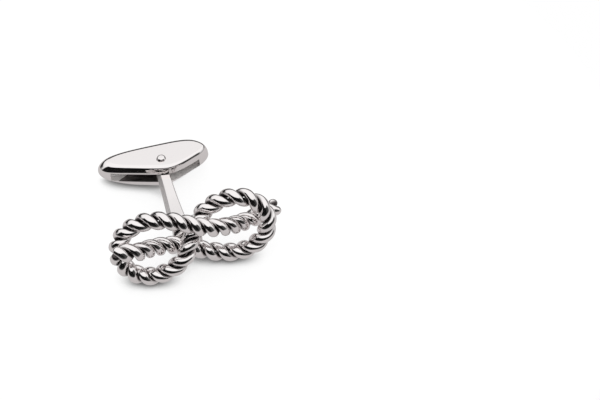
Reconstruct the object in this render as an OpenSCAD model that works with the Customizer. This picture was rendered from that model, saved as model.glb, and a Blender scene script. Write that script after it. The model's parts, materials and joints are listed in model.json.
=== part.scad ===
// Cufflink: a figure-eight knot of twisted wire, a tapered post and a swivelling toggle.
// It is drawn lying at rest: knot to the front (-Y), toggle to the back, table at zero height.

/* [Rope] */
// Diameter of the rope that the two twisted wires make
rope_d = 2.5; // [1.6:0.1:3.2]
// Free space between the two wires of the rope
wire_gap = 0.07; // [0.02:0.01:0.1]
// Length of rope in which a wire goes once round
lay = 3.99; // [3:0.01:6]
// The same length towards the right free end, where the rope is twisted harder
lay_right = 3.78; // [3:0.01:6]
// Distance from the rope's middle to where the harder twist starts
lay_change = 5.65; // [0:0.05:20]
// Angle at which the wires stand there
lay_start = 14; // [0:1:359]

/* [Knot] */
// Width across both loops, from rope centre to rope centre
loop_w = 20; // [16:0.5:26]
// Height of the loops, from rope centre to rope centre
loop_h = 8.5; // [8:0.25:12]
// Free space between the passes of rope where they cross
pass_gap = 0.25; // [0.05:0.05:0.5]
// Turn of the knot on its post
knot_turn = 10; // [0:0.5:12]

/* [Back plate] */
// Width of the plate behind the crossing
plate_w = 3.8; // [3:0.1:6]
// Height of the plate
plate_h = 5; // [4:0.1:8]
// Distance of the plate's middle below the middle of the knot
plate_drop = 1.7; // [0:0.1:2]
// Thickness of the plate
plate_t = 0.7; // [0.6:0.1:2]
// Corner radius of the plate
plate_r = 0.6; // [0.2:0.1:1]
// Soldered joint between knot, plate and post
solder = 0.03; // [0.02:0.01:0.1]

/* [Post] */
// Length from the middle of the knot to the pivot
post_len = 14.9; // [13:0.1:20]
// Distance of the post's foot from the middle of the knot, to the left
foot_side = 1.25; // [0:0.05:2]
// Distance of the pivot from the middle of the knot, to the left
pivot_side = 2.05; // [0:0.05:2.5]
// Width of the post at the plate
foot_w = 2; // [1.4:0.05:2.4]
// Height of the post at the plate
foot_h = 1.6; // [1.2:0.1:2.6]
// Width of the post at the toggle
neck_w = 1.4; // [0.8:0.05:1.6]
// Height of the post at the toggle
neck_h = 1.15; // [0.8:0.05:1.2]
// Bevel along the edges of the post
post_bevel = 0.35; // [0.1:0.05:0.4]

/* [Cam and pin] */
// Width over the flats of the square cam
cam_w = 2.1; // [1.8:0.05:2.4]
// Radius to which the cam's corners are turned
cam_r = 1.22; // [1.15:0.01:1.4]
// Height of the cam
cam_h = 1.1; // [0.8:0.05:1.2]
// Diameter of the pivot pin
pin_d = 0.9; // [0.6:0.05:1.1]
// Diameter of the pin's riveted heads
head_d = 1.3; // [1.1:0.05:1.8]
// Height of a riveted head
head_h = 0.28; // [0.15:0.01:0.5]
// Radial running clearance of the cam on the pin
pin_play = 0.03; // [0.02:0.01:0.08]
// Radial clearance of the pin in the toggle
pin_fit = 0.01; // [0.01:0.01:0.03]

/* [Toggle] */
// Reach of the toggle's left nose from the pivot
nose_left = 8.35; // [7.5:0.05:10]
// Reach of the toggle's right nose from the pivot
nose_right = 6.7; // [6:0.1:9]
// Reach of the toggle's near side from the pivot
near_side = 2.15; // [1.9:0.05:2.4]
// Reach of the toggle's far side from the pivot
far_side = 3.7; // [3.3:0.1:4.5]
// Thickness of the toggle
toggle_h = 3.4; // [3:0.1:4]
// Height of the slot
slot_h = 1.3; // [1.2:0.05:1.5]
// Depth of the cavity behind the pivot
cavity_y = 2.3; // [2.1:0.05:2.6]
// Metal left at each nose beyond the slot's end
nose_wall = 1.5; // [0.8:0.1:2]
// Turn of the toggle on its pin at rest
toggle_turn = 2; // [0:0.5:6]

/* [Leaf spring] */
// Thickness of the spring strip
spring_t = 0.2; // [0.12:0.02:0.3]
// Length of the spring from end to end
spring_l = 5.4; // [4.6:0.1:6]
// Free space round the spring and between spring and cam
spring_gap = 0.05; // [0.03:0.01:0.1]

/* [Hidden] */
$fn = 48;

// Rope centre from the middle of the crossing to the right free end, as shares of half the
// loops' width, half their height, and of the rise of the front pass. The rope goes down
// over the other strand, round the left loop, back across the middle and towards the right
// loop's bend. The other half of the rope is the same route turned through the middle.
route_shares = [
    [0, 0, 0], [-0.10, -0.18, 0.60], [-0.16, -0.46, 1], [-0.34, -0.77, 0.94],
    [-0.57, -0.98, 0.53], [-0.79, -0.92, -0.05], [-0.94, -0.61, -0.60], [-1, -0.18, -0.89],
    [-0.95, 0.38, -1], [-0.79, 0.76, -0.83], [-0.60, 0.98, -0.40], [-0.34, 0.96, 0.21],
    [-0.07, 0.74, 0.77], [0.16, 0.46, 1], [0.37, 0.26, 0.76], [0.57, 0.04, 0.16],
    [0.76, -0.20, -0.80],
];
// Free ends: the right one passes behind its loop's bend, the left one in front
right_end_shares = [[0.96, -0.17, -1], [1.24, 0.01, -1]];
left_end_shares = [[-1.11, 0.43, 1], [-0.95, 0.38, 1]];
// Times that the rope's line is evened out between its neighbouring points
evenings = 10;
// Half the distance between two passes where they cross
rise = (rope_d + pass_gap) / 2;
wire_r = (rope_d - wire_gap) / 4;
wire_orbit = (rope_d + wire_gap) / 4;
// Facets round a wire, and rings in one lay
wire_sides = 10;
rings_per_lay = 12;
// Angles of the rings in a wire's rounded end
dome_angles = [60, 30];
// Thickness of the thin slices that a hull is stretched between
slice = 0.01;

function unit(v) = v / norm(v);
function route_point(s) = [s[0] * loop_w / 2, -s[2] * rise, s[1] * loop_h / 2];
half_route = [for (s = route_shares) route_point(s)];
route = concat([for (s = left_end_shares) route_point(s)],
    [for (i = [len(half_route) - 1:-1:1]) -half_route[i]], half_route,
    [for (s = right_end_shares) route_point(s)]);

// Smooth curve through four points, from the second to the third
function smooth(a, b, c, d, t) =
    b + (c - a) * t / 2 + (2 * a - 5 * b + 4 * c - d) * pow(t, 2) / 2
    + (3 * b - a - 3 * c + d) * pow(t, 3) / 2;
function before(p) = 2 * p[0] - p[1];
function after(p) = 2 * p[len(p) - 1] - p[len(p) - 2];
ring_step = lay / rings_per_lay;
function evened(p, times) = times == 0 ? p :
    evened([for (i = [0:len(p) - 1]) (p[max(i - 1, 0)] + p[i] * 2 + p[min(i + 1, len(p) - 1)]) / 4],
        times - 1);
rope_line = let (p = concat([before(route)], route, [after(route)])) evened(concat(
    [for (i = [1:len(p) - 3])
        let (n = max(1, round(norm(p[i + 1] - p[i]) / ring_step)))
        for (k = [0:n - 1]) smooth(p[i - 1], p[i], p[i + 1], p[i + 2], k / n)],
    [route[len(route) - 1]]), evenings);
rope_run = [for (i = 0, s = 0; i < len(rope_line);
    s = s + (i + 1 < len(rope_line) ? norm(rope_line[i + 1] - rope_line[i]) : 0), i = i + 1) s];
function slope(p, i) = unit(p[min(i + 1, len(p) - 1)] - p[max(i - 1, 0)]);

// Direction across the rope at ring i, and from the rope's centre to a wire's centre
function rope_side(i) = unit(cross([0, -1, 0], slope(rope_line, i)));
function spoke(i, turn) =
    let (side = rope_side(i), front = cross(slope(rope_line, i), side),
         s = rope_run[i] - rope_run[len(rope_run) - 1] / 2 - lay_change,
         a = lay_start + turn + 360 * s / (s < 0 ? lay : lay_right))
    side * cos(a) + front * sin(a);
function wire_line(turn) =
    [for (i = [0:len(rope_line) - 1]) rope_line[i] + wire_orbit * spoke(i, turn)];
// Points round a wire at ring i, moved along the wire by s
function ring(line, i, s, r) =
    let (t = slope(line, i), side = rope_side(i), n = unit(side - (side * t) * t), b = cross(t, n))
    [for (j = [0:wire_sides - 1]) line[i] + s * t
        + r * (n * cos(360 * j / wire_sides) + b * sin(360 * j / wire_sides))];

// Faces between m rings of n points
function side_faces(m, n) = concat(
    [for (i = [0:m - 2]) for (j = [0:n - 1]) [i * n + j, (i + 1) * n + j, (i + 1) * n + (j + 1) % n]],
    [for (i = [0:m - 2]) for (j = [0:n - 1]) [i * n + j, (i + 1) * n + (j + 1) % n, i * n + (j + 1) % n]]);

// A round wire swept along its own helix, with domed ends
module twisted_wire(turn) {
    line = wire_line(turn);
    last = len(line) - 1;
    domes = len(dome_angles) - 1;
    rings = concat(
        [for (k = [0:domes])
            ring(line, 0, -wire_r * sin(dome_angles[k]), wire_r * cos(dome_angles[k]))],
        [for (i = [0:last]) ring(line, i, 0, wire_r)],
        [for (k = [domes:-1:0])
            ring(line, last, wire_r * sin(dome_angles[k]), wire_r * cos(dome_angles[k]))]);
    points = concat([for (r = rings) for (p = r) p],
        [line[0] - slope(line, 0) * wire_r, line[last] + slope(line, last) * wire_r]);
    n = wire_sides;
    m = len(rings);
    polyhedron(points, concat(side_faces(m, n),
        [for (j = [0:n - 1]) [m * n, j, (j + 1) % n]],
        [for (j = [0:n - 1]) [m * n + 1, (m - 1) * n + (j + 1) % n, (m - 1) * n + j]]));
}

// The toggle's plan at the height of the slot, from the left nose along the near side and back,
// as shares of the reaches: to a nose across, and to the near or the far side
plan_shares = [
    [-1, 0.51], [-0.92, 0.15], [-0.6, -0.26], [-0.3, -0.64], [-0.06, -0.93], [0.09, -1],
    [0.28, -0.91], [0.49, -0.62], [0.71, -0.22], [0.89, 0.06], [1, 0.33], [0.96, 0.55],
    [0.83, 0.79], [0.66, 0.94], [0.38, 1], [0, 0.98], [-0.3, 0.95], [-0.58, 0.9],
    [-0.78, 0.82], [-0.93, 0.7],
];
plan_corners = [for (s = plan_shares)
    [s[0] * (s[0] < 0 ? nose_left : nose_right), s[1] * (s[1] < 0 ? near_side : far_side)]];
// Points of the smooth outline between two corners
plan_steps = 3;
plan = [for (i = [0:len(plan_corners) - 1], k = [0:plan_steps - 1])
    let (n = len(plan_corners))
    smooth(plan_corners[(i + n - 1) % n], plan_corners[i], plan_corners[(i + 1) % n],
        plan_corners[(i + 2) % n], k / plan_steps)];
// Points that the plan shrinks towards below and above the slot, as shares of the reaches
keel_shares = [-0.21, 0];
crown_shares = [0.21, 0.47];
keel = [keel_shares[0] * nose_left, keel_shares[1] * far_side];
crown = [crown_shares[0] * nose_right, crown_shares[1] * far_side];
// Sections of the toggle from bottom to top: height as a share of half its thickness, then
// length and width as shares of the plan
section_shares = [
    [-1, 0.52, 0.55], [-0.85, 0.6, 0.62], [-0.65, 0.69, 0.73], [-0.4, 0.83, 0.87],
    [-0.2, 0.95, 0.97], [0, 1, 1], [0.3, 1, 1], [0.55, 0.98, 0.97], [0.74, 0.955, 0.935],
    [0.89, 0.92, 0.9], [1, 0.875, 0.858],
];
function narrowest(s) = s[0] < 0 ? keel : crown;

pivot = [-pivot_side, post_len, 0];
function turned(p, a) = [p[0] * cos(a) - p[1] * sin(a), p[0] * sin(a) + p[1] * cos(a), p[2]];
// A point after the lean and the roll in a
function tilted(p, a) =
    let (y = p[1] * cos(a[0]) + p[2] * sin(a[0]), z = p[2] * cos(a[0]) - p[1] * sin(a[0]))
    [p[0] * cos(a[1]) - z * sin(a[1]), y, z * cos(a[1]) + p[0] * sin(a[1])];
function lowest(points, a) = min([for (p = points) tilted(p, a)[2]]);
knot_points = [for (turn = [0, 180]) for (p = wire_line(turn)) turned(p, knot_turn)];
left_points = [for (p = knot_points) if (p[0] < 0) p];
right_points = [for (p = knot_points) if (p[0] > 0) p];
toggle_points = [for (s = section_shares) let (m = narrowest(s)) for (p = plan)
    pivot + turned([m[0] + s[1] * (p[0] - m[0]), m[1] + s[2] * (p[1] - m[1]), s[0] * toggle_h / 2],
        toggle_turn)];
// Lean and roll at rest, found in steps: both loops and the toggle touch the table
rest_steps = 6;
function settled(a, steps) = steps == 0 ? a : let (
    left = lowest(left_points, a) - wire_r,
    right = lowest(right_points, a) - wire_r,
    back = lowest(toggle_points, a))
    settled([a[0] + atan2(back - min(left, right), post_len), a[1] + atan2(left - right, loop_w / 2)],
        steps - 1);
rest = settled([0, 0], rest_steps);
lean = rest[0];
roll = rest[1];
rest_points = [for (p = knot_points) tilted(p, rest)];
function across(points, i) = [min([for (p = points) p[i]]) - wire_r, max([for (p = points) p[i]]) + wire_r];
knot_x = across(rest_points, 0);
knot_y = across(rest_points, 1);
toggle_back = max([for (p = toggle_points) tilted(p, rest)[1]]);
origin = [(knot_x[0] + knot_x[1]) / 2, (knot_y[0] + toggle_back) / 2, lowest(knot_points, rest) - wire_r];

module at_rest() {
    translate(-origin) rotate([-lean, -roll, 0]) children();
}
module at_knot() {
    at_rest() rotate([0, 0, knot_turn]) children();
}
module at_toggle() {
    at_rest() translate(pivot) rotate([0, 0, toggle_turn]) children();
}

// Overrun of every cut
cut = 1;

module knot_wire_1() {
    color("silver") at_knot() twisted_wire(0);
}
module knot_wire_2() {
    color("silver") at_knot() twisted_wire(180);
}

// The plate's faces, measured from the middle of the knot
plate_y = rise + rope_d / 2 + solder;
module rounded_plate(w, h, t, r) {
    rotate([90, 0, 0]) translate([0, 0, -t]) linear_extrude(t) {
        square([w - 2 * r, h], center = true);
        square([w, h - 2 * r], center = true);
        for (x = [-1, 1], z = [-1, 1]) translate([x * (w / 2 - r), z * (h / 2 - r)]) circle(r);
    }
}
module back_plate() {
    color("gainsboro") at_knot() translate([0, plate_y, -plate_drop])
        rounded_plate(plate_w, plate_h, plate_t, plate_r);
}

// Post sections from the middle of the knot to the cam: place as a share of that length, then
// width and height as shares of the way from foot to neck
flare_shares = [[0, 0, 0], [0.22, 0, 0], [0.38, 0.27, 0.6], [0.55, 0.6, 1], [0.74, 0.85, 1], [1, 1, 1]];
function post_corners(s) =
    let (x = (foot_w + (neck_w - foot_w) * s[1]) / 2, z = (foot_h + (neck_h - foot_h) * s[2]) / 2,
         b = post_bevel, middle = -foot_side - (pivot_side - foot_side) * s[0])
    [for (c = [[x, z - b], [x, b - z], [x - b, -z], [b - x, -z],
               [-x, b - z], [-x, z - b], [b - x, z], [x - b, z]])
        [middle + c[0], s[0] * (post_len - cam_w / 4), c[1]]];
module post() {
    rings = [for (s = flare_shares) post_corners(s)];
    n = len(rings[0]);
    last = (len(rings) - 1) * n;
    color("silver") at_rest() difference() {
        union() {
            polyhedron([for (r = rings) for (c = r) c], concat(side_faces(len(rings), n),
                [[for (j = [0:n - 1]) j]], [[for (j = [n - 1:-1:0]) last + j]]));
            translate(pivot) intersection() {
                cube([cam_w, cam_w, cam_h], center = true);
                cylinder(r = cam_r, h = cam_h, center = true);
            }
        }
        translate(pivot) cylinder(r = pin_d / 2 + pin_play, h = neck_h + cut, center = true);
        rotate([0, 0, knot_turn]) translate([-loop_w / 2, -loop_w, -loop_h / 2])
            cube([loop_w, loop_w + plate_y + plate_t + solder, loop_h]);
    }
}

// One riveted head: a low dome, cut from a ball
head_ball = (pow(head_d / 2, 2) + pow(head_h, 2)) / (2 * head_h);
module rivet_head() {
    rotate_extrude() intersection() {
        translate([0, head_h - head_ball]) circle(head_ball, $fn = 96);
        square([head_d / 2, head_h]);
    }
}
module pivot_pin() {
    color("whitesmoke") at_toggle() {
        cylinder(d = pin_d, h = toggle_h, center = true);
        for (side = [0, 180]) rotate([side, 0, 0]) translate([0, 0, toggle_h / 2]) rivet_head();
    }
}

// Bowed strip whose ends bear on the cavity's back wall
spring_front = cam_r + spring_gap;
spring_bow = cavity_y - spring_gap - spring_front;
spring_r = (pow(spring_l / 2, 2) + pow(spring_bow, 2)) / (2 * spring_bow);
spring_h = slot_h - 2 * spring_gap;
module leaf_spring() {
    color("darkgray") at_toggle() intersection() {
        translate([0, spring_front + spring_r, 0]) difference() {
            cylinder(r = spring_r, h = spring_h, center = true, $fn = 96);
            cylinder(r = spring_r - spring_t, h = spring_h + cut, center = true, $fn = 96);
        }
        translate([-spring_l / 2, 0, -spring_h / 2]) cube([spring_l, cavity_y - spring_gap, spring_h]);
    }
}

module toggle_hull() {
    hull() for (s = section_shares)
        translate([narrowest(s)[0], narrowest(s)[1], s[0] * (toggle_h - slice) / 2])
            linear_extrude(slice, center = true) scale([s[1], s[2]])
                translate(-narrowest(s)) polygon(plan);
}
// Plan of the slot and of the cavity behind it, from the left nose round to the right
slot_left = nose_wall - nose_left;
slot_right = nose_right - nose_wall;
// Corners of its sloping end walls, as shares of the slot's reach and of the cavity's depth
left_wall_shares = [[1, 0.33], [0.68, 0.74]];
right_wall_shares = [[0.78, 0.7], [1, 0.33]];
slot_corners = concat(
    [[slot_left, -near_side - cut]],
    [for (s = left_wall_shares) [s[0] * slot_left, s[1] * cavity_y]],
    [[-spring_l / 2 - spring_gap, cavity_y], [spring_l / 2 + spring_gap, cavity_y]],
    [for (s = right_wall_shares) [s[0] * slot_right, s[1] * cavity_y]],
    [[slot_right, -near_side - cut]]);
module toggle_body() {
    color("silver") at_toggle() difference() {
        toggle_hull();
        linear_extrude(slot_h, center = true) polygon(slot_corners);
        cylinder(r = pin_d / 2 + pin_fit, h = toggle_h + cut, center = true);
    }
}

knot_wire_1();
knot_wire_2();
back_plate();
post();
pivot_pin();
leaf_spring();
toggle_body();
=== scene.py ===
import json
import math
import bmesh
import bpy
from mathutils import Matrix, Vector
from mathutils.kdtree import KDTree


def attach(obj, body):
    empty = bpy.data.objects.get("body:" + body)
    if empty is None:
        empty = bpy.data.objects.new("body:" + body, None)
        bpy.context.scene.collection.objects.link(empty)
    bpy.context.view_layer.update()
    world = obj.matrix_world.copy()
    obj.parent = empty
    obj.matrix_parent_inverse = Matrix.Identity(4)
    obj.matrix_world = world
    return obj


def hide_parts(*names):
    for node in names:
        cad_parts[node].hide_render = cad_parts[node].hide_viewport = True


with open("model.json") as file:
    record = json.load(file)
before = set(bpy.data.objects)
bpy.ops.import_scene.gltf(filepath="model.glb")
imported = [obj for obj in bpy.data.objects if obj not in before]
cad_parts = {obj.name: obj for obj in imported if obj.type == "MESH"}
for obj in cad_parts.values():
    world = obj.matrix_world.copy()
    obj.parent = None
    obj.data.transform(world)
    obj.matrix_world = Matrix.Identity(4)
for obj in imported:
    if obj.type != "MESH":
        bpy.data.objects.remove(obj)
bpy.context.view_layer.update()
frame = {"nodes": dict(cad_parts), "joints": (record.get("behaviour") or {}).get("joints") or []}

# Sizes of the solids, in millimetres
MM = 0.001
ROPE_D = 2.5
WIRE_GAP = 0.07
LAY = 3.99
LAY_RIGHT = 3.78
LAY_CHANGE = 5.65
LAY_START = 14
LOOP_W = 20
LOOP_H = 8.5
PASS_GAP = 0.25
KNOT_TURN = 10
PLATE_W = 3.8
PLATE_H = 5
PLATE_DROP = 1.7
PLATE_T = 0.7
PLATE_R = 0.6
SOLDER = 0.03
POST_LEN = 14.9
FOOT_SIDE = 1.25
PIVOT_SIDE = 2.05
FOOT_W = 2
FOOT_H = 1.6
NECK_W = 1.4
NECK_H = 1.15
CAM_W = 2.1
CAM_R = 1.22
CAM_H = 1.1
PIN_D = 0.9
HEAD_D = 1.3
HEAD_H = 0.28
NOSE_LEFT = 8.5
NOSE_RIGHT = 6.5
NEAR_SIDE = 2.15
FAR_SIDE = 3.7
TOGGLE_H = 3.4
SLOT_H = 1.3
CAVITY_Y = 2.3
NOSE_WALL = 1.5
TOGGLE_TURN = 2
SPRING_L = 5.4
SPRING_GAP = 0.05

RISE = (ROPE_D + PASS_GAP) / 2
WIRE_R = (ROPE_D - WIRE_GAP) / 4
WIRE_ORBIT = (ROPE_D + WIRE_GAP) / 4
PLATE_Y = RISE + ROPE_D / 2 + SOLDER
POST_END = POST_LEN - CAM_W / 4

# Doubles closer than this are merged
MERGE = 0.0005
CUT_DIST = 0.0001

# places
swivel = frame["joints"][0]
axis = Vector(swivel["axis"])
lean = math.asin(axis.y)
roll = math.atan2(-axis.x, axis.z)
tilt = Matrix.Rotation(-roll, 4, "Y") @ Matrix.Rotation(-lean, 4, "X")
PIVOT = Vector((-PIVOT_SIDE, POST_LEN, 0))
at_rest = Matrix.Translation(Vector(swivel["pos_m"]) - (tilt @ PIVOT) * MM) @ tilt @ Matrix.Scale(MM, 4)
at_knot = at_rest @ Matrix.Rotation(math.radians(KNOT_TURN), 4, "Z")
at_toggle = at_rest @ Matrix.Translation(PIVOT) @ Matrix.Rotation(math.radians(TOGGLE_TURN), 4, "Z")


# nodes
def feed(made, inputs):
    """Gives each input of a node a value, or the output of another node."""
    for name, value in inputs.items():
        if isinstance(value, bpy.types.NodeSocket):
            made.id_data.links.new(value, made.inputs[name])
        else:
            made.inputs[name].default_value = value


def node(tree, kind, inputs, **settings):
    made = tree.nodes.new("ShaderNode" + kind)
    for name, value in settings.items():
        setattr(made, name, value)
    feed(made, inputs)
    return made


def eased(tree, value, low, high, low_out=0.0, high_out=1.0):
    """A value between low and high, as one between low_out and high_out with soft ends."""
    inputs = {"Value": value, "From Min": low, "From Max": high, "To Min": low_out, "To Max": high_out}
    return node(tree, "MapRange", inputs, interpolation_type="SMOOTHSTEP").outputs["Result"]


def mixed(tree, share, a, b):
    return node(tree, "Mix", {"Factor": share, "A": a, "B": b}, data_type="RGBA").outputs["Result"]


def maths(tree, operation, *values):
    return node(tree, "Math", dict(enumerate(values)), operation=operation).outputs["Value"]


def along(tree, vector, direction):
    """How far a vector reaches in a direction."""
    return node(tree, "VectorMath", {0: vector, 1: direction}, operation="DOT_PRODUCT").outputs["Value"]


def in_metal(tree, ray):
    """1 for what is seen in metal or glass."""
    return maths(tree, "MAXIMUM", ray["Is Glossy Ray"], ray["Is Transmission Ray"])


def grey(tone):
    return (tone, tone, tone, 1)


# materials
HAIR_STRETCH = (900, 9000, 5200)
HAIR_TURN = (0.3, 0.2, 0.5)
HAIR_HEIGHT = 0.004
WAVES = 420.0
WAVE_HEIGHT = 0.04
# Shares of a metal's roughness between and along its hairlines
ROUGH_LEAST, ROUGH_MOST = 0.7, 1.5
# What the painted shade in the grooves leaves of the colour, and what it adds to the roughness
GROOVE_SHADE_TONE = (0.13, 0.12, 0.12)
GROOVE_DULL = 0.35


def polished(name, colour, rough, metallic=1.0, groove_shade=False):
    """Polished metal: faint hairlines from the buffing wheel, slow waves, and painted shade that darkens the
    grooves.
    """
    m = bpy.data.materials.new(name)
    m.use_nodes = True
    tree = m.node_tree
    place = node(tree, "TexCoord", {}).outputs["Object"]
    combed = node(tree, "Mapping", {"Vector": place, "Scale": HAIR_STRETCH, "Rotation": HAIR_TURN})
    combed = combed.outputs["Vector"]
    hair = node(tree, "TexNoise", {"Vector": combed, "Scale": 1.0, "Detail": 3.0}).outputs["Fac"]
    wave = node(tree, "TexNoise", {"Vector": place, "Scale": WAVES, "Detail": 2.0}).outputs["Fac"]
    least, most = rough * ROUGH_LEAST, rough * ROUGH_MOST
    uneven = {"Value": hair, "From Min": 0.3, "From Max": 0.7, "To Min": least, "To Max": most}
    dull = node(tree, "MapRange", uneven).outputs["Result"]
    slow = node(tree, "Bump", {"Height": wave, "Strength": 0.06, "Distance": WAVE_HEIGHT * MM})
    fine = {"Height": hair, "Normal": slow.outputs["Normal"], "Strength": 0.03, "Distance": HAIR_HEIGHT * MM}
    bsdf = tree.nodes["Principled BSDF"]
    feed(bsdf, {"Metallic": metallic, "Base Color": (*colour, 1), "Roughness": dull})
    feed(bsdf, {"Normal": node(tree, "Bump", fine).outputs["Normal"]})
    if groove_shade:
        # Painted shade: the colour darkens with how deep the point lies in the rope, and the roughness rises
        # there too
        depth = node(tree, "Attribute", {}, attribute_name="groove_shade").outputs["Fac"]
        dark = (*[c * share for c, share in zip(colour, GROOVE_SHADE_TONE)], 1)
        feed(bsdf, {"Base Color": mixed(tree, depth, (*colour, 1), dark)})
        feed(bsdf, {"Roughness": maths(tree, "MULTIPLY_ADD", depth, GROOVE_DULL, dull)})
    return m


silver = polished("polished_silver", (0.94, 0.905, 0.9), 0.045)
rope_silver = polished("rope_silver", (0.94, 0.905, 0.9), 0.05, groove_shade=True)
plate_silver = polished("plate_silver", (0.86, 0.85, 0.84), 0.12)
spring_steel = polished("spring_steel", (0.55, 0.56, 0.58), 0.25)
# Painted shade: a dark copy of the silver lines the slot's inside
slot_shade_silver = polished("slot_shade_silver", (0.26, 0.24, 0.24), 0.42)
# Painted shadow: a near-black copy of the silver on the slot's right end wall
slot_end_shadow = polished("slot_end_shadow", (0.05, 0.045, 0.045), 0.5)
# Painted light: a bright satin copy of the silver on the parts of the slot that catch light
lit_slot_satin = polished("lit_slot_satin", (0.9, 0.88, 0.87), 0.5, metallic=0.4)
# Painted reflection: a duller, darker copy of the silver gives the post's slanting left side an even mid-grey
slant_reflection_paint = polished("slant_reflection_paint", (0.6, 0.575, 0.57), 0.35, metallic=0.4)


# helpers
RIM_ANGLE = 1.2


def everything(bm):
    return list(bm.verts) + list(bm.edges) + list(bm.faces)


def rims(bm):
    """The sharp edges of a closed shape."""
    return [e for e in bm.edges if len(e.link_faces) == 2 and e.calc_face_angle() > RIM_ANGLE]


def round_off(bm, edges, size, segments):
    bmesh.ops.bevel(bm, geom=edges, offset=size, affect="EDGES", segments=segments, profile=0.5, material=-1)


def verts_of(grown):
    return [g for g in grown if isinstance(g, bmesh.types.BMVert)]


def linked(name, data):
    obj = bpy.data.objects.new(name, data)
    bpy.context.scene.collection.objects.link(obj)
    return obj


def as_made(obj):
    """A mesh of an object with its curve or modifiers worked out."""
    bpy.context.view_layer.update()
    return bpy.data.meshes.new_from_object(obj.evaluated_get(bpy.context.evaluated_depsgraph_get()))


def piece(name, bm, place, materials, body, *nodes, smooth=35, soft=0.0):
    """Turns a bmesh in millimetres into a finished piece that rides on its body."""
    mesh = bpy.data.meshes.new(name)
    bm.to_mesh(mesh)
    bm.free()
    mesh.transform(place)
    obj = linked(name, mesh)
    for material in materials:
        mesh.materials.append(material)
    if soft:
        edge = obj.modifiers.new("soft_edges", "BEVEL")
        edge.width = soft * MM
        edge.segments = 2
        edge.limit_method = "ANGLE"
        edge.angle_limit = math.radians(smooth)
        edge.harden_normals = False
    mesh.shade_smooth()
    mesh.set_sharp_from_angle(angle=math.radians(smooth))
    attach(obj, body)
    if nodes:
        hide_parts(*nodes)
    return obj


def cut_out(obj, cutter_bm, place, *materials):
    """Takes a cutter's shape out of a piece, and lays the cutter's materials on the cut."""
    mesh = bpy.data.meshes.new("cutter")
    cutter_bm.to_mesh(mesh)
    cutter_bm.free()
    mesh.transform(place)
    for material in materials:
        mesh.materials.append(material)
    tool = linked("cutter", mesh)
    cut = obj.modifiers.new("cut", "BOOLEAN")
    cut.operation = "DIFFERENCE"
    cut.solver = "EXACT"
    cut.material_mode = "TRANSFER"
    cut.object = tool
    done = as_made(obj)
    obj.modifiers.remove(cut)
    obj.data = done
    bpy.data.objects.remove(tool)


def between(a, b, c, d, t):
    """A point from b to c on a smooth curve that also passes a and d."""
    bend = (2 * a - 5 * b + 4 * c - d) * t * t / 2
    return b + (c - a) * t / 2 + bend + (3 * b - a - 3 * c + d) * t ** 3 / 2


def past_ends(p):
    """A line with one more point beyond each end, as far out as its last step."""
    return [2 * p[0] - p[1]] + p + [2 * p[-1] - p[-2]]


# rope
# Half the centre line from the middle of the crossing, as the source has it: shares of half the
# loop's width, of half its height, and of the rise towards the front
ROUTE = [
    (0, 0, 0), (-0.10, -0.18, 0.60), (-0.16, -0.46, 1), (-0.34, -0.77, 0.94),
    (-0.57, -0.98, 0.53), (-0.79, -0.92, -0.05), (-0.94, -0.61, -0.60), (-1, -0.18, -0.89),
    (-0.95, 0.38, -1), (-0.79, 0.76, -0.83), (-0.60, 0.98, -0.40), (-0.34, 0.96, 0.21),
    (-0.07, 0.74, 0.77), (0.16, 0.46, 1), (0.37, 0.26, 0.76), (0.57, 0.04, 0.16),
    (0.76, -0.20, -0.80),
]
RIGHT_END = [(0.96, -0.17, -1), (1.24, 0.01, -1)]
LEFT_END = [(-1.11, 0.43, 1), (-0.95, 0.38, 1)]
EVENINGS = 10
RINGS_PER_LAY = 12
# Steps of the drawn line for each ring of the solid
FINER = 3
# A drawn wire's radius as a share of the solid's, so that the knot stays inside its box
WIRE_SHARE = 0.957
# The outer half of a strand is a little wider and flatter than a circle
STRAND_SPREAD = 1.08
PLUMP = 2.3
# The right-hand tips are laid a little tighter and cut shorter, so that both show
END_TURN = 55
END_CUT = 3
# Painted shade darkens the wires below this share of their outermost height over the rope's middle
GROOVE_TOP = 0.78
GROOVE_DEPTH = 0.2
# Steps of the line on each side that a point's height is measured from
NEIGHBOURS = 6
DOME_ANGLES = (88, 75, 60, 45, 30, 15)


def rope_route():
    """The rope's centre line less its cut end, the run along it, and the length of the whole line."""
    def spot(s):
        return Vector((s[0] * LOOP_W / 2, -s[2] * RISE, s[1] * LOOP_H / 2))
    half = [spot(s) for s in ROUTE]
    left_end, right_end = [[spot(s) for s in end] for end in (LEFT_END, RIGHT_END)]
    p = past_ends(left_end + [-v for v in half[:0:-1]] + half + right_end)
    line = []
    for i in range(1, len(p) - 2):
        n = max(1, int((p[i + 1] - p[i]).length / (LAY / RINGS_PER_LAY) + 0.5))
        line += [between(p[i - 1], p[i], p[i + 1], p[i + 2], k / n) for k in range(n)]
    line.append(p[-2])
    for _ in range(EVENINGS):
        last = len(line) - 1
        line = [(line[max(i - 1, 0)] + line[i] * 2 + line[min(i + 1, last)]) / 4 for i in range(last + 1)]
    run = [0.0]
    for a, b in zip(line, line[1:]):
        run.append(run[-1] + (b - a).length)
    q = past_ends(line)
    fine, fine_run = [], []
    for i in range(len(line) - 1):
        for k in range(FINER):
            fine.append(between(*q[i:i + 4], k / FINER))
            fine_run.append(run[i] + (run[i + 1] - run[i]) * k / FINER)
    return fine[:-END_CUT], fine_run[:-END_CUT], run[-1]


rope, rope_run, ROPE_RUN = rope_route()


def heading(line, i):
    return (line[min(i + 1, len(line) - 1)] - line[max(i - 1, 0)]).normalized()


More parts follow.
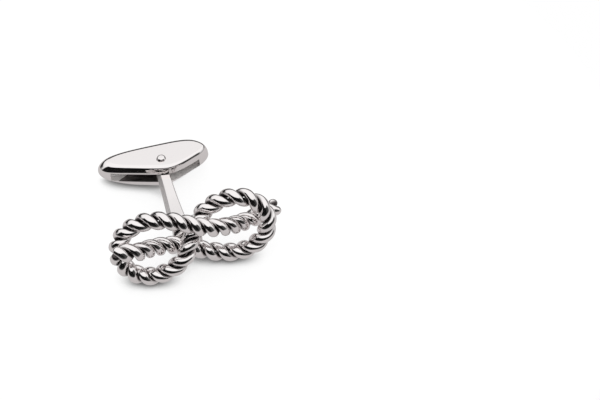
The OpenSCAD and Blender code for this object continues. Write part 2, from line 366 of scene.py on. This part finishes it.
def wire_path(turn):
    """A wire's helix round the rope's centre line."""
    path = []
    for i, c in enumerate(rope):
        t = heading(rope, i)
        side = Vector((0, -1, 0)).cross(t).normalized()
        front = t.cross(side)
        s = rope_run[i] - ROPE_RUN / 2 - LAY_CHANGE
        a = math.radians(LAY_START + turn) + 2 * math.pi * s / (LAY if s < 0 else LAY_RIGHT)
        last = max(0.0, 1 - (rope_run[-1] - rope_run[i]) / LAY)
        a += math.radians(END_TURN) * last * last * (3 - 2 * last)
        path.append(c + WIRE_ORBIT * (side * math.cos(a) + front * math.sin(a)))
    return path


def round_wire(name, path, r):
    """A round wire along its path, with domed ends."""
    domes = [math.radians(a) for a in DOME_ANGLES]
    start, end = heading(path, 0), heading(path, len(path) - 1)
    points = [(path[0] - start * r * math.sin(a), math.cos(a)) for a in domes]
    points += [(c, 1.0) for c in path]
    points += [(path[-1] + end * r * math.sin(a), math.cos(a)) for a in reversed(domes)]
    curve = bpy.data.curves.new(name, "CURVE")
    curve.dimensions = "3D"
    curve.bevel_depth = r
    curve.bevel_resolution = 9
    curve.use_fill_caps = True
    spline = curve.splines.new("POLY")
    spline.points.add(len(points) - 1)
    for spot, (c, share) in zip(spline.points, points):
        spot.co = (*c, 1)
        spot.radius = share
    tube = linked(name, curve)
    bm = bmesh.new()
    bm.from_mesh(as_made(tube))
    bpy.data.objects.remove(tube)
    bmesh.ops.remove_doubles(bm, verts=bm.verts, dist=MERGE)
    bmesh.ops.recalc_face_normals(bm, faces=bm.faces)
    return bm


def plump_out(bm, path, r):
    """Widens and flattens a wire's outer half, and marks how deep each point lies in the rope, for the
    painted shade in the grooves.
    """
    shade = bm.verts.layers.float.new("groove_shade")
    tree = KDTree(len(path))
    for i, c in enumerate(path):
        tree.insert(c, i)
    tree.balance()
    for v in bm.verts:
        i = tree.find(v.co)[1]
        out = (path[i] - rope[i]).normalized()
        across = heading(path, i).cross(out).normalized()
        off = v.co - path[i]
        u, w = off.dot(out), off.dot(across)
        swell = max(0.0, 1 + u / r) if u < 0 else 1.0
        if u > 0:
            a = math.atan2(abs(w), u)
            full = (math.cos(a) ** PLUMP + math.sin(a) ** PLUMP) ** (-1 / PLUMP)
            v.co += (full - 1) * (out * u + across * w)
            w *= full
        v.co += across * w * swell * (STRAND_SPREAD - 1)
        near = rope[max(0, i - NEIGHBOURS):i + NEIGHBOURS + 1]
        height = min((v.co - c).length for c in near) / (2 * WIRE_R)
        v[shade] = min(1.0, max(0.0, (GROOVE_TOP - height) / GROOVE_DEPTH))


def twisted_wire(name, turn, *nodes):
    """One wire of the rope, with painted shade where it faces the rope's middle."""
    path = wire_path(turn)
    r = WIRE_R * WIRE_SHARE
    bm = round_wire(name, path, r)
    plump_out(bm, path, r)
    return piece(name, bm, at_knot, [rope_silver], "knot_and_post", *nodes, smooth=80)


twisted_wire("rope_wire_1", 0, "knot_wire_1")
twisted_wire("rope_wire_2", 180, "knot_wire_2")

# back plate
PLATE_ROUND = 0.12


def back_plate():
    bm = bmesh.new()
    bmesh.ops.create_cube(bm, size=1)
    bmesh.ops.scale(bm, vec=(PLATE_W, PLATE_T, PLATE_H), verts=bm.verts)
    bmesh.ops.translate(bm, vec=(0, PLATE_Y + PLATE_T / 2, -PLATE_DROP), verts=bm.verts)
    corners = [e for e in bm.edges if abs(e.verts[0].co.y - e.verts[1].co.y) > PLATE_T / 2]
    round_off(bm, corners, PLATE_R, 8)
    round_off(bm, rims(bm), PLATE_ROUND, 3)
    return piece("knot_plate", bm, at_knot, [plate_silver], "knot_and_post", "back_plate", smooth=40)


back_plate()

# post and cam
# The way along the post, then shares of the way from foot to neck in width and in height
FLARE = [(0, 0, 0), (0.22, 0, 0), (0.38, 0.27, 0.6), (0.55, 0.6, 1), (0.74, 0.85, 1), (1, 1, 1)]
POST_MORE = 0.15
POST_START = 2.4
POST_STEPS = 24
# The post's corners: its slanting left side, its bevels below, and its right edge
SLANT_IN, SLANT_OUT, SLANT_DROP = 0.28, 0.2, 0.7
UNDER_BEVEL = 0.2
RIGHT_IN = 0.05
RIGHT_BEVEL_W, RIGHT_BEVEL_H = 0.12, 0.3
# Height that parts its upper corners from the lower ones
POST_PARTING = -0.25
POST_SOFT = 0.03
CAM_ROUND = 0.08


def flare(s):
    """Shares of the way from foot to neck, eased between the source's sections."""
    f = [FLARE[0]] + FLARE + [FLARE[-1]]
    for a, b, c, d in zip(f, f[1:], f[2:], f[3:]):
        if s <= c[0]:
            t = (s - b[0]) / (c[0] - b[0])
            return [min(1, max(0, between(a[i], b[i], c[i], d[i], t))) for i in (1, 2)]
    return [1, 1]


def post_corners(w, h):
    left, right, top, under = -w / 2, w / 2, h / 2, -h / 2
    return [
        (left + SLANT_IN, top), (left - SLANT_OUT, top - SLANT_DROP), (left - SLANT_OUT, under + UNDER_BEVEL),
        (left, under), (right - UNDER_BEVEL, under), (right - RIGHT_IN, under + UNDER_BEVEL),
        (right - RIGHT_IN, top - RIGHT_BEVEL_H), (right - RIGHT_IN - RIGHT_BEVEL_W, top),
    ]


def post_bar():
    """A bar that slims from its foot on the plate to the cam, with a broad slanting left side."""
    w, h = FOOT_W + POST_MORE, FOOT_H
    bm = bmesh.new()
    faces = [bm.faces.new([bm.verts.new((x, 0, z)) for x, z in post_corners(w, h)])]
    ring = list(bm.verts)
    x = y = 0.0
    for k in range(POST_STEPS + 1):
        if k:
            grown = bmesh.ops.extrude_face_region(bm, geom=faces)["geom"]
            faces = [g for g in grown if isinstance(g, bmesh.types.BMFace)]
            ring = verts_of(grown)
        where = POST_START + (POST_END - POST_START) * k / POST_STEPS
        share = where / POST_END
        a, b = flare(share)
        aside = -FOOT_SIDE - (PIVOT_SIDE - FOOT_SIDE) * share
        new_w, new_h = FOOT_W + POST_MORE + (NECK_W - FOOT_W) * a, FOOT_H + (NECK_H - FOOT_H) * b
        for part, way in (([v for v in ring if v.co.x < x], -1), ([v for v in ring if v.co.x > x], 1)):
            bmesh.ops.translate(bm, vec=(aside - x + way * (new_w - w) / 2, where - y, 0), verts=part)
        lower = [v for v in ring if v.co.z < POST_PARTING]
        upper = [v for v in ring if v.co.z > POST_PARTING]
        for part, way in ((lower, -1), (upper, 1)):
            bmesh.ops.translate(bm, vec=(0, 0, way * (new_h - h) / 2), verts=part)
        x, y, w, h = aside, where, new_w, new_h
    walls = [f for f in bm.faces if abs(f.normal.y) > 0.9]
    inner = [f for f in walls if POST_START + 0.01 < f.calc_center_median().y < POST_END - 0.01]
    bmesh.ops.delete(bm, geom=inner, context="FACES_ONLY")
    turned = Matrix.Rotation(math.radians(KNOT_TURN), 4, "Z")
    seat = turned @ Vector((0, PLATE_Y + PLATE_T + SOLDER, 0))
    bmesh.ops.bisect_plane(bm, geom=everything(bm), dist=CUT_DIST, plane_co=seat,
        plane_no=turned @ Vector((0, -1, 0)), clear_outer=True)
    bmesh.ops.holes_fill(bm, edges=[e for e in bm.edges if e.is_boundary], sides=0)
    bmesh.ops.recalc_face_normals(bm, faces=bm.faces)
    # The slanting left side takes the painted reflection
    slanting = [f for f in bm.faces if f.normal.x < -0.6 and f.normal.z > 0.3]
    for f in slanting:
        f.material_index = 1
    silver_and_slant_paint = [silver, slant_reflection_paint]
    return piece("tapered_post", bm, at_rest, silver_and_slant_paint, "knot_and_post", "post", smooth=25, soft=POST_SOFT)


def cam_block():
    bm = bmesh.new()
    bmesh.ops.create_cube(bm, size=1)
    bmesh.ops.scale(bm, vec=(CAM_W, CAM_W, CAM_H), verts=bm.verts)
    uprights = [e for e in bm.edges if abs(e.verts[0].co.z - e.verts[1].co.z) > CAM_H / 2]
    corner = CAM_W / 2 - math.sqrt(CAM_R ** 2 - (CAM_W / 2) ** 2)
    round_off(bm, uprights, corner, 8)
    round_off(bm, rims(bm), CAM_ROUND, 3)
    return piece("post_cam", bm, at_rest @ Matrix.Translation(PIVOT), [silver], "knot_and_post", smooth=40)


post_bar()
cam_block()

# pivot pin
TURN_STEPS = 64
HEAD_STEPS = 14
# The higher, the flatter the head's top and the steeper its side
HEAD_FLATNESS = 6
HEAD_TALLER = 1.5


def pivot_pin():
    """A riveted pin: its shank and one head are turned, then mirrored, and the upper head stands taller."""
    bm = bmesh.new()
    top = TOGGLE_H / 2
    profile = [(PIN_D / 2, 0), (PIN_D / 2, top), (HEAD_D / 2, top)]
    for k in range(1, HEAD_STEPS + 1):
        x = math.cos(math.pi / 2 * k / HEAD_STEPS)
        profile.append((x * HEAD_D / 2, top + HEAD_H * (1 - x ** HEAD_FLATNESS)))
    spots = [bm.verts.new((x, 0, z)) for x, z in profile]
    edges = [bm.edges.new((a, b)) for a, b in zip(spots, spots[1:])]
    bmesh.ops.spin(bm, geom=spots + edges, cent=(0, 0, 0), axis=(0, 0, 1), angle=2 * math.pi,
        steps=TURN_STEPS, use_merge=True)
    bmesh.ops.mirror(bm, geom=everything(bm), axis="Z", merge_dist=MERGE)
    bmesh.ops.remove_doubles(bm, verts=bm.verts, dist=MERGE)
    head = [v for v in bm.verts if v.co.z > top + MERGE]
    bmesh.ops.scale(bm, vec=(1, 1, HEAD_TALLER), verts=head, space=Matrix.Translation((0, 0, -top)))
    bmesh.ops.recalc_face_normals(bm, faces=bm.faces)
    return piece("rivet_pin", bm, at_toggle, [silver], "toggle", "pivot_pin", smooth=35)


pivot_pin()

# toggle
# The plan from the left nose along the near side and back, as shares of its reaches
PLAN = [
    (-1, 0.51), (-0.92, 0.15), (-0.6, -0.26), (-0.3, -0.64), (-0.06, -0.95), (0.1, -1.05),
    (0.28, -0.96), (0.49, -0.64), (0.71, -0.22), (0.89, 0.06), (1, 0.33), (0.96, 0.55),
    (0.83, 0.79), (0.66, 0.94), (0.38, 1), (0, 0.98), (-0.3, 0.95), (-0.58, 0.9),
    (-0.78, 0.82), (-0.93, 0.7),
]
PLAN_STEPS = 8
PLAN_EVENINGS = 12
# The near side is evened more, from this share of its reach on
NEAR_EVENINGS = 90
NEAR_FROM = -0.25
# Points that the plan shrinks towards, below and above the slot
KEEL = Vector((-0.21 * NOSE_LEFT, 0, 0))
CROWN = Vector((0.34 * NOSE_RIGHT, 0.3 * FAR_SIDE, 0))
# Height as a share of half the thickness, then length and width as shares of the plan
SECTIONS = [
    (-1, 0.51, 0.54), (-0.85, 0.64, 0.615), (-0.65, 0.78, 0.73), (-0.4, 0.92, 0.87),
    (-0.2, 0.98, 0.97), (0, 1, 1), (0.3, 0.995, 0.99), (0.5, 0.982, 0.975), (0.66, 0.96, 0.96),
    (0.8, 0.935, 0.942), (0.9, 0.91, 0.915), (0.95, 0.89, 0.888), (0.98, 0.87, 0.85), (1, 0.84, 0.775),
]
RING_HEIGHTS = [
    -1, -0.97, -0.93, -0.89, -0.85, -0.8, -0.75, -0.7, -0.65, -0.58, -0.5, -0.4, -0.3, -0.2, -0.1, 0,
    0.15, 0.3, 0.4, 0.5, 0.58, 0.66, 0.73, 0.8, 0.85, 0.9, 0.93, 0.96, 0.975, 0.988, 0.996, 1,
]
# Extra width of the lower jaw's near side, and what the far side gains and then loses towards the top
JAW_FULLER, SHOULDER_FULLER, FAR_ROUNDER = 0.24, 0.015, 0.095
# The higher, the lower down the jaw is fullest
JAW_LOW = 2.4
SHOULDER_FROM, ROUND_FROM = 0.8, 0.9
TOP_INSET = 0.06
# Corners of the slot's sloping end walls, as shares of its reach and of its depth
LEFT_WALL = [(0.68, 0.74), (1, 0.33)]
RIGHT_WALL = [(1, 0.33), (0.78, 0.7)]
SLOT_OVERRUN = 1
# The slot gets painted light right of this line, and left of the slanting one
LIT_X = 0.6
LIT_CORNER, LIT_EDGE = Vector((-6.8, -0.6, 0)), Vector((0.6, -0.8, 0))


def plan_corner(x, y):
    return Vector((x * (NOSE_LEFT if x < 0 else NOSE_RIGHT), y * (NEAR_SIDE if y < 0 else FAR_SIDE), 0))


def plan_outline(bm):
    """The plan at the height of the slot: one smooth closed line through its shares."""
    p = [plan_corner(x, y) for x, y in PLAN]
    n = len(p)
    first = tip = None
    for i in range(n):
        for k in range(PLAN_STEPS):
            spot = between(p[i - 1], p[i], p[(i + 1) % n], p[(i + 2) % n], k / PLAN_STEPS)
            if tip is None:
                first = tip = bm.verts.new(spot)
            else:
                tip = bmesh.ops.extrude_vert_indiv(bm, verts=[tip])["verts"][0]
                tip.co = spot
    bm.edges.new((tip, first))
    for _ in range(PLAN_EVENINGS):
        bmesh.ops.smooth_vert(bm, verts=bm.verts, factor=0.5, use_axis_x=True, use_axis_y=True)
    near = [v for v in bm.verts if v.co.y < NEAR_FROM * NEAR_SIDE]
    for _ in range(NEAR_EVENINGS):
        bmesh.ops.smooth_vert(bm, verts=near, factor=0.5, use_axis_x=True, use_axis_y=True)


def section(z):
    """Length and width shares at a height share, on a smooth curve through the sections."""
    if z == 0:
        return [1, 1]
    low = tuple(2 * b - a for a, b in zip(SECTIONS[1], SECTIONS[0]))
    high = tuple(2 * a - b for a, b in zip(SECTIONS[-1], SECTIONS[-2]))
    s = [low] + SECTIONS + [high]
    i = next(i for i in range(1, len(s) - 2) if z <= s[i + 1][0] or i == len(s) - 3)
    t = (z - s[i][0]) / (s[i + 1][0] - s[i][0])
    return [between(s[i - 1][k], s[i][k], s[i + 1][k], s[i + 2][k], t) for k in (1, 2)]


def one_side(z):
    """Extra width below for the near half, and above for the far half, which rounds off early."""
    if z <= 0:
        return 1 + JAW_FULLER * math.sin(math.pi * (-z) ** JAW_LOW)
    up = min(1.0, max(0.0, (z - SHOULDER_FROM) / (ROUND_FROM - SHOULDER_FROM)))
    over = min(1.0, max(0.0, (z - ROUND_FROM) / (1 - ROUND_FROM)))
    return 1 + SHOULDER_FULLER * up - FAR_ROUNDER * (1 - math.sqrt(1 - over * over))


def boat():
    """Rings drawn up from the keel to the flat top, each scaled from the one below."""
    bm = bmesh.new()
    plan_outline(bm)
    edges, ring = list(bm.edges), list(bm.verts)
    now = (1.0, 1.0, 1.0)
    height = 0.0
    for k, z in enumerate(RING_HEIGHTS):
        if k:
            grown = bmesh.ops.extrude_edge_only(bm, edges=edges)["geom"]
            fresh = [g for g in grown if isinstance(g, bmesh.types.BMEdge)]
            edges = [e for e in fresh if all(v in grown for v in e.verts)]
            ring = verts_of(grown)
        bmesh.ops.translate(bm, vec=(0, 0, (z - height) * TOGGLE_H / 2), verts=ring)
        height = z
        share = (*section(z), one_side(z))
        centre, way = (KEEL, -1) if z <= 0 else (CROWN, 1)
        space = Matrix.Translation(-centre)
        bmesh.ops.scale(bm, vec=(share[0] / now[0], share[1] / now[1], 1), verts=ring, space=space)
        half = [v for v in ring if (v.co.y - centre.y) * way > 0]
        bmesh.ops.scale(bm, vec=(1, share[2] / now[2], 1), verts=half, space=space)
        now = share
    bmesh.ops.holes_fill(bm, edges=[e for e in bm.edges if e.is_boundary], sides=0)
    bmesh.ops.recalc_face_normals(bm, faces=bm.faces)
    flats = [f for f in bm.faces if len(f.verts) > 8]
    bmesh.ops.inset_region(bm, faces=flats, thickness=TOP_INSET, use_even_offset=True)
    return bm


def slot_cutter():
    """The slot's room, with painted shade over its inside, a painted shadow on its right end, and painted
    light on the parts that catch light.
    """
    bm = bmesh.new()
    left, right = NOSE_WALL - NOSE_LEFT, NOSE_RIGHT - NOSE_WALL
    mouth = -NEAR_SIDE - SLOT_OVERRUN
    back_x = SPRING_L / 2 + SPRING_GAP
    corners = [(left, mouth), (right, mouth)] + [(x * right, y * CAVITY_Y) for x, y in RIGHT_WALL]
    corners += [(back_x, CAVITY_Y), (-back_x, CAVITY_Y)] + [(x * left, y * CAVITY_Y) for x, y in LEFT_WALL]
    base = bm.faces.new([bm.verts.new((x, y, -SLOT_H / 2)) for x, y in corners])
    up = bmesh.ops.extrude_face_region(bm, geom=[base])["geom"]
    bmesh.ops.translate(bm, vec=(0, 0, SLOT_H), verts=verts_of(up))
    bmesh.ops.recalc_face_normals(bm, faces=bm.faces)
    for corner, edge in (((LIT_X, 0, 0), (1, 0, 0)), (LIT_CORNER, LIT_EDGE)):
        bmesh.ops.bisect_plane(bm, geom=everything(bm), dist=CUT_DIST, plane_co=corner, plane_no=edge)
    # The right end wall takes the painted shadow, the parts that catch light take the painted light, and the
    # rest takes the painted shade
    for f in bm.faces:
        middle = f.calc_center_median()
        if f.normal.x > 0.9:
            f.material_index = 2
        elif middle.x > LIT_X or (middle - LIT_CORNER).dot(LIT_EDGE) < 0:
            f.material_index = 1
    return bm


toggle = piece("toggle_boat", boat(), at_toggle, [silver], "toggle", "toggle_body", smooth=25)
cut_out(toggle, slot_cutter(), at_toggle, slot_shade_silver, lit_slot_satin, slot_end_shadow)

# leaf spring keeps its solid
spring = frame["nodes"]["leaf_spring"]
spring.data.materials.clear()
spring.data.materials.append(spring_steel)

# floor
FLOOR_R = 60
PAPER = grey(0.25)
# What metal shows of the paper, and of the dark mat in front
PAPER_IN_METAL, MAT_IN_METAL = (0.12, 0.1165, 0.1165, 1), grey(0.0045)
GLOW_IN_METAL = 3.75
MAT_WAY, MAT_FROM, MAT_TO = (-0.53, -0.85, 0), 18, 26
# The contact shadow is wide, but narrow under the toggle's raised end
SHADOW_WIDE, SHADOW_NARROW = 2.8, 0.8
RAISED_WAY, RAISED_FROM, RAISED_TO = (0.35, 0.94, 0), 3.3, 5.2


def white_paper():
    """White to the camera save for contact shadows, and pale grey in metal, with a dark mat in front."""
    paper = bpy.data.materials.new("white_paper")
    paper.use_nodes = True
    tree = paper.node_tree
    ray = node(tree, "LightPath", {}).outputs
    mirrored = in_metal(tree, ray)
    place = node(tree, "TexCoord", {}).outputs["Object"]
    mat = eased(tree, along(tree, place, MAT_WAY), MAT_FROM * MM, MAT_TO * MM)
    seen = mixed(tree, mat, PAPER_IN_METAL, MAT_IN_METAL)
    raised = along(tree, place, RAISED_WAY)
    reach = eased(tree, raised, RAISED_FROM * MM, RAISED_TO * MM, SHADOW_WIDE * MM, SHADOW_NARROW * MM)
    touch = node(tree, "AmbientOcclusion", {"Distance": reach}, samples=16).outputs["AO"]
    lift = maths(tree, "MULTIPLY", eased(tree, touch, 0.2, 0.8, 0.02, 0.8), ray["Is Camera Ray"])
    feed(tree.nodes["Principled BSDF"], {
        "Roughness": 0.9,
        "Specular IOR Level": 0.1,
        "Base Color": mixed(tree, mirrored, PAPER, seen),
        "Emission Color": mixed(tree, mirrored, grey(1), seen),
        "Emission Strength": maths(tree, "MULTIPLY_ADD", mirrored, GLOW_IN_METAL, lift),
    })
    return paper


def floor_disc():
    mesh = bpy.data.meshes.new("floor")
    bm = bmesh.new()
    bmesh.ops.create_circle(bm, cap_ends=True, segments=96, radius=FLOOR_R * MM)
    bm.to_mesh(mesh)
    bm.free()
    mesh.materials.append(white_paper())
    return linked("floor", mesh)


floor_disc()

# camera at the photograph's angle
AZ, EL = math.radians(9.78), math.radians(50.5)
PIXELS_PER_MM = 7.665
PHOTO_WIDTH = 600
SENSOR = 36
DISTANCE = 500.0
# The middle of the picture, to the right of the knot's middle and above it
ASIDE, ABOVE = 13.98, 4.747


def photo_camera():
    back = Vector((-math.sin(AZ) * math.cos(EL), -math.cos(AZ) * math.cos(EL), math.sin(EL)))
    right = Vector((math.cos(AZ), -math.sin(AZ), 0))
    upward = back.cross(right)
    look_at = at_rest @ Vector((0, 0, 0)) + (right * ASIDE + upward * ABOVE) * MM
    data = bpy.data.cameras.new("camera")
    data.sensor_width = SENSOR
    data.lens = PIXELS_PER_MM * DISTANCE * SENSOR / PHOTO_WIDTH
    data.clip_start = 0.01
    data.clip_end = 10
    camera = linked("camera", data)
    stance = Matrix((right, upward, back)).transposed().to_4x4()
    camera.matrix_world = Matrix.Translation(look_at + back * DISTANCE * MM) @ stance
    return camera


bpy.context.scene.camera = photo_camera()

# light: a white tent with a dark opening on the camera's left and a dark low band behind
DOOR_AZ, DOOR_INNER, DOOR_OUTER = 32, 54, 62
LINTEL_LOW, LINTEL_HIGH = 39, 43
SPOT_AZ, SPOT_EL, SPOT_INNER, SPOT_OUTER = -42, 17, 20, 32
DOOR_TONE, SPOT_TONE = 0.006, 0.05
BEHIND_FROM, BEHIND_TO = 0.1, 0.5
# Tones straight down, straight up, and at heights between, where 0.5 is level
SIDE_TONES = [0.3, 1, (0.46, 0.3), (0.53, 0.45), (0.62, 0.75), (0.75, 0.93)]
BACK_TONES = [0.3, 1, (0.46, 0.03), (0.635, 0.03), (0.67, 0.85), (0.8, 0.97)]


def compass(az, el):
    """The way to a point of the tent, az degrees to the left of the front and el degrees up."""
    az, el = math.radians(az), math.radians(el)
    return (-math.sin(az) * math.cos(el), -math.cos(az) * math.cos(el), math.sin(el))


def facing(tree, way, direction, inner, outer):
    """1 within the inner angle of a direction, 0 past the outer one."""
    low, high = math.cos(math.radians(outer)), math.cos(math.radians(inner))
    return eased(tree, along(tree, way, direction), low, high)


def ramp(tree, height, low, high, *stops):
    """A grey for every height."""
    tones = node(tree, "ValToRGB", {"Fac": height})
    tones.color_ramp.elements[0].color = grey(low)
    tones.color_ramp.elements[1].color = grey(high)
    for place, tone in stops:
        tones.color_ramp.elements.new(place).color = grey(tone)
    return tones.outputs["Color"]


def white_tent():
    world = bpy.data.worlds.new("tent")
    world.use_nodes = True
    tree = world.node_tree
    way = node(tree, "TexCoord", {}).outputs["Generated"]
    split = node(tree, "SeparateXYZ", {0: way}).outputs
    level = node(tree, "VectorMath", {0: way, 1: (1, 1, 0)}, operation="MULTIPLY").outputs["Vector"]
    bearing = node(tree, "VectorMath", {0: level}, operation="NORMALIZE").outputs["Vector"]
    sides = facing(tree, bearing, compass(DOOR_AZ, 0), DOOR_INNER, DOOR_OUTER)
    lintel = eased(tree, split["Z"], math.sin(math.radians(LINTEL_HIGH)), math.sin(math.radians(LINTEL_LOW)))
    door = maths(tree, "MULTIPLY", sides, lintel)
    spot = facing(tree, way, compass(SPOT_AZ, SPOT_EL), SPOT_INNER, SPOT_OUTER)
    behind = eased(tree, split["Y"], BEHIND_FROM, BEHIND_TO)
    height = node(tree, "MapRange", {"Value": split["Z"], "From Min": -1}).outputs["Result"]
    walls = mixed(tree, behind, ramp(tree, height, *SIDE_TONES), ramp(tree, height, *BACK_TONES))
    dimmed = mixed(tree, spot, walls, grey(SPOT_TONE))
    seen = mixed(tree, door, dimmed, grey(DOOR_TONE))
    metal = in_metal(tree, node(tree, "LightPath", {}).outputs)
    feed(tree.nodes["Background"], {"Color": mixed(tree, metal, grey(1), seen), "Strength": 1.0})
    return world


bpy.context.scene.world = white_tent()
bpy.context.scene.view_settings.view_transform = "Standard"
